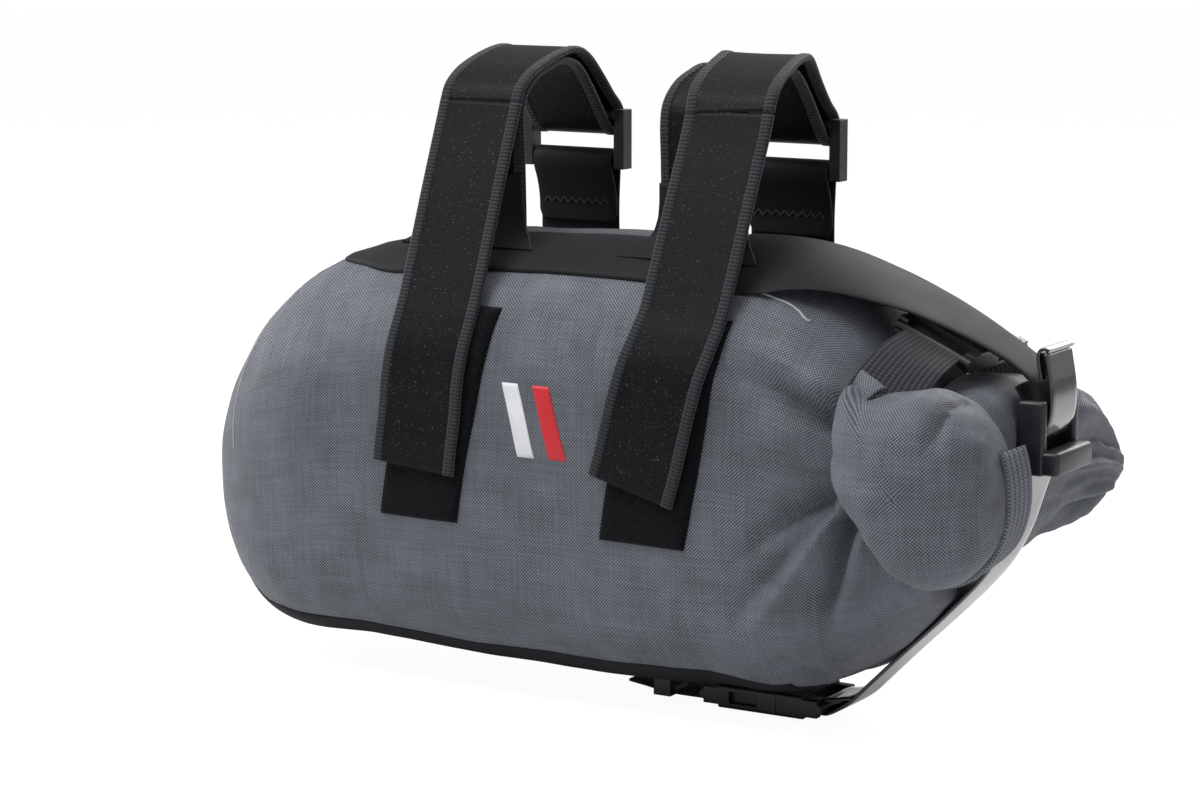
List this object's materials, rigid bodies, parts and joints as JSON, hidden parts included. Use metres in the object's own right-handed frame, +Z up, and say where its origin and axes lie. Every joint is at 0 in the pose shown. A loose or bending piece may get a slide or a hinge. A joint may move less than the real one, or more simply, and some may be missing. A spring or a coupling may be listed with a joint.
{
  "type": "roll-top handlebar bag",
  "caption": "Welded fabric roll-top bag in a rubberised harness; hook-and-loop straps through rings hold it under a bar, and a strap with buckles clamps its rolled mouth.",
  "frame": {"origin": "on the handlebar's axis, midway between the bar straps", "axes": "+X along the bar towards the bag's rolled mouth, +Y from the bag's front to its back, +Z up"},
  "size_m": [0.3967, 0.156, 0.2638],
  "materials": {
    "bag_fabric": "coated woven, satin",
    "stiffener": "matte",
    "harness_sheet": "matte rubberised fabric",
    "strap_sheet": "semi-gloss rubberised fabric",
    "loop_pile": "fuzzy loop pile",
    "webbing": "ribbed webbing",
    "coated_webbing": "gloss coated webbing",
    "buckle_plastic": "fine moulded grain",
    "reflective_white": "reflective print",
    "reflective_red": "reflective print"
  },
  "bodies": {
    "bag": {"bag_body": "bag_fabric", "mouth_roll": "bag_fabric", "mouth_stiffener": "stiffener", "front_ear": "bag_fabric", "rear_ear": "bag_fabric", "harness_top_strip": "harness_sheet", "harness_back_panel": "harness_sheet", "harness_tongue": "harness_sheet", "left_front_tab": "harness_sheet", "right_front_tab": "harness_sheet", "left_rear_tab": "harness_sheet", "right_rear_tab": "harness_sheet", "left_strap": "strap_sheet", "right_strap": "strap_sheet", "left_loop_pad": "loop_pile", "right_loop_pad": "loop_pile", "front_ear_webbing": "webbing", "rear_ear_webbing": "webbing", "ear_buckle_socket": "buckle_plastic", "ladder_lock": "buckle_plastic", "closure_strap": "coated_webbing", "bottom_webbing": "webbing", "bottom_slider": "buckle_plastic", "bottom_buckle_socket": "buckle_plastic", "reflective_mark_white": "reflective_white", "reflective_mark_red": "reflective_red"},
    "left_flap": {"left_flap": "strap_sheet"},
    "right_flap": {"right_flap": "strap_sheet"},
    "left_ring": {"left_ring": "buckle_plastic"},
    "right_ring": {"right_ring": "buckle_plastic"},
    "ear_plug": {"ear_buckle_plug": "buckle_plastic"},
    "ear_prong_a": {"ear_buckle_prong_a": "buckle_plastic"},
    "ear_prong_b": {"ear_buckle_prong_b": "buckle_plastic"},
    "bottom_plug": {"bottom_buckle_plug": "buckle_plastic"},
    "bottom_prong_a": {"bottom_buckle_prong_a": "buckle_plastic"},
    "bottom_prong_b": {"bottom_buckle_prong_b": "buckle_plastic"}
  },
  "joints": [
    {"name": "left_strap_peel", "type": "hinge", "parent": "bag", "child": "left_flap", "pos_m": [-0.053, -0.02008, 0.00636], "axis": [-1, 0, 0], "range_deg": [0, 100]},
    {"name": "right_strap_peel", "type": "hinge", "parent": "bag", "child": "right_flap", "pos_m": [0.053, -0.02008, 0.00636], "axis": [-1, 0, 0], "range_deg": [0, 100]},
    {"name": "left_ring_swing", "type": "hinge", "parent": "bag", "child": "left_ring", "pos_m": [-0.053, 0.0556, -0.025], "axis": [1, 0, 0], "range_deg": [-6, 6]},
    {"name": "right_ring_swing", "type": "hinge", "parent": "bag", "child": "right_ring", "pos_m": [0.053, 0.0556, -0.025], "axis": [1, 0, 0], "range_deg": [-6, 6]},
    {"name": "ear_buckle_release", "type": "slide", "parent": "bag", "child": "ear_plug", "axis": [0, -1, 0], "range_m": [0, 0.028], "deforming": ["front_ear_webbing"]},
    {"name": "ear_prong_a_squeeze", "type": "hinge", "parent": "ear_plug", "child": "ear_prong_a", "pos_m": [0.14804, -0.008, -0.07602], "axis": [-0.4226, 0, -0.9063], "range_deg": [0, 5], "stiffness_Nm_per_rad": 0.05},
    {"name": "ear_prong_b_squeeze", "type": "hinge", "parent": "ear_plug", "child": "ear_prong_b", "pos_m": [0.17196, -0.008, -0.08718], "axis": [0.4226, 0, 0.9063], "range_deg": [0, 5], "stiffness_Nm_per_rad": 0.05},
    {"name": "bottom_buckle_release", "type": "slide", "parent": "bag", "child": "bottom_plug", "axis": [1, 0, 0], "range_m": [0, 0.028], "deforming": ["closure_strap"]},
    {"name": "bottom_prong_a_squeeze", "type": "hinge", "parent": "bottom_plug", "child": "bottom_prong_a", "pos_m": [0.091, -0.0162, -0.238], "axis": [0, 0, -1], "range_deg": [0, 5], "stiffness_Nm_per_rad": 0.05},
    {"name": "bottom_prong_b_squeeze", "type": "hinge", "parent": "bottom_plug", "child": "bottom_prong_b", "pos_m": [0.091, 0.0102, -0.238], "axis": [0, 0, 1], "range_deg": [0, 5], "stiffness_Nm_per_rad": 0.05}
  ]
}
